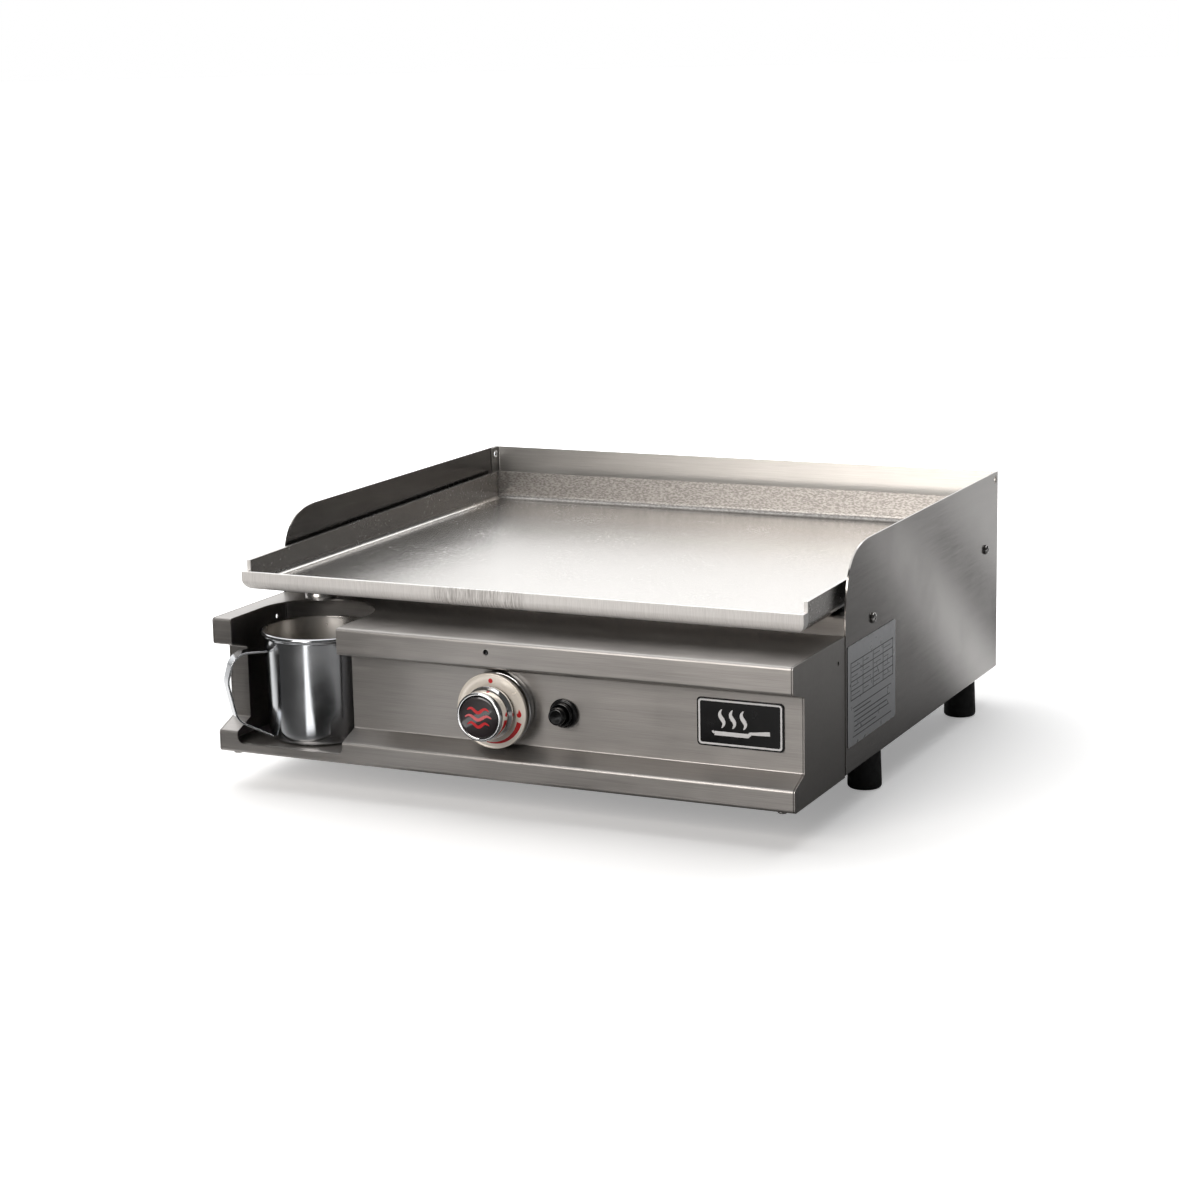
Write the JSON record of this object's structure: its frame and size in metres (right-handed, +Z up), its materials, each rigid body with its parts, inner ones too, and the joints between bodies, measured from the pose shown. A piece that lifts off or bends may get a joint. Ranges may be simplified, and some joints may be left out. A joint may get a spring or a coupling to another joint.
{
  "type": "flat top griddle",
  "caption": "Stainless countertop gas griddle: a lift-off folded plate that drains into a mug in the console, with a valve knob and a push igniter.",
  "frame": {"origin": "middle of the bounding box on the plane the feet stand on", "axes": "+X to the right seen from the front, +Y to the back, +Z up; the controls face -Y"},
  "size_m": [0.4658, 0.4984, 0.1925],
  "materials": {
    "brushed_stainless": "stainless sheet with a fine horizontal grain",
    "plate_steel": "bare hot-rolled stainless plate, satin, lightly scratched",
    "polished_stainless": "mirror-polished stainless",
    "chrome": "bright chrome plating",
    "galvanised_steel": "dull zinc-coated sheet",
    "brass": "machined brass",
    "copper": "drawn copper, slightly dulled",
    "black_plastic": "glossy black moulding",
    "black_rubber": "matt black moulded rubber",
    "spring_steel": "drawn spring steel",
    "white_ceramic": "glazed white ceramic; gloss_plastic stands in for it",
    "silicone_lead": "red-brown silicone sleeve",
    "badge_enamel": "black printed badge",
    "label_foil": "matt silver foil"
  },
  "bodies": {
    "chassis": {"air_shutter": "galvanised_steel", "back_panel": "brushed_stainless", "badge_plate": "badge_enamel", "bay_divider": "brushed_stainless", "bay_floor": "brushed_stainless", "bottom_pan": "galvanised_steel", "burner_crossbar": "brushed_stainless", "burner_stand_front": "galvanised_steel", "burner_stand_rear": "galvanised_steel", "burner_tube_left": "brushed_stainless", "burner_tube_right": "brushed_stainless", "console_end_left": "brushed_stainless", "console_end_right": "brushed_stainless", "console_screw_left": "polished_stainless", "console_screw_right": "polished_stainless", "console_shell": "brushed_stainless", "foot_front_left": "black_rubber", "foot_front_right": "black_rubber", "foot_rear_left": "black_rubber", "foot_rear_right": "black_rubber", "foot_screw_front_left": "spring_steel", "foot_screw_front_right": "spring_steel", "foot_screw_rear_left": "spring_steel", "foot_screw_rear_right": "spring_steel", "front_bulkhead": "brushed_stainless", "gas_injector": "brass", "gas_inlet": "brass", "gas_pipe": "copper", "gas_valve_body": "brass", "igniter_housing": "black_plastic", "igniter_nut": "black_plastic", "igniter_spring": "spring_steel", "ignition_lead": "silicone_lead", "inlet_lock_nut": "brass", "knob_base_ring": "chrome", "knob_spring": "spring_steel", "plate_rail_left": "galvanised_steel", "plate_rail_right": "galvanised_steel", "rating_label": "label_foil", "side_panel_left": "brushed_stainless", "side_panel_right": "brushed_stainless", "side_screw_front_left": "polished_stainless", "side_screw_front_right": "polished_stainless", "side_screw_rear_left": "polished_stainless", "side_screw_rear_right": "polished_stainless", "spark_electrode": "white_ceramic", "thermocouple_lead": "copper", "thermocouple_probe": "copper", "venturi_tube": "brushed_stainless"},
    "plate": {"griddle_plate": "plate_steel", "drain_collar": "plate_steel"},
    "mug": {"mug_body": "polished_stainless", "mug_handle": "polished_stainless"},
    "knob_carrier": {"knob_thrust_washer": "spring_steel"},
    "knob": {"knob_dial": "chrome", "knob_barrel": "chrome", "knob_cap": "chrome", "valve_spindle": "brass"},
    "igniter_push": {"igniter_button": "black_plastic"}
  },
  "joints": [
    {"name": "plate_lift", "type": "slide", "parent": "chassis", "child": "plate", "axis": [0, 0, 1], "range_m": [0, 0.08]},
    {"name": "mug_slide", "type": "slide", "parent": "chassis", "child": "mug", "axis": [0, -1, 0], "range_m": [0, 0.12]},
    {"name": "knob_push", "type": "slide", "parent": "chassis", "child": "knob_carrier", "axis": [0, 1, 0], "range_m": [0, 0.004], "stiffness_N_per_m": 600, "deforming": ["knob_spring"]},
    {"name": "knob_turn", "type": "hinge", "parent": "knob_carrier", "child": "knob", "pos_m": [-0.0015, -0.2141, 0.0782], "axis": [0, -1, 0], "range_deg": [0, 200]},
    {"name": "igniter_press", "type": "slide", "parent": "chassis", "child": "igniter_push", "axis": [0, 1, 0], "range_m": [0, 0.005], "stiffness_N_per_m": 800, "deforming": ["igniter_spring"]}
  ]
}
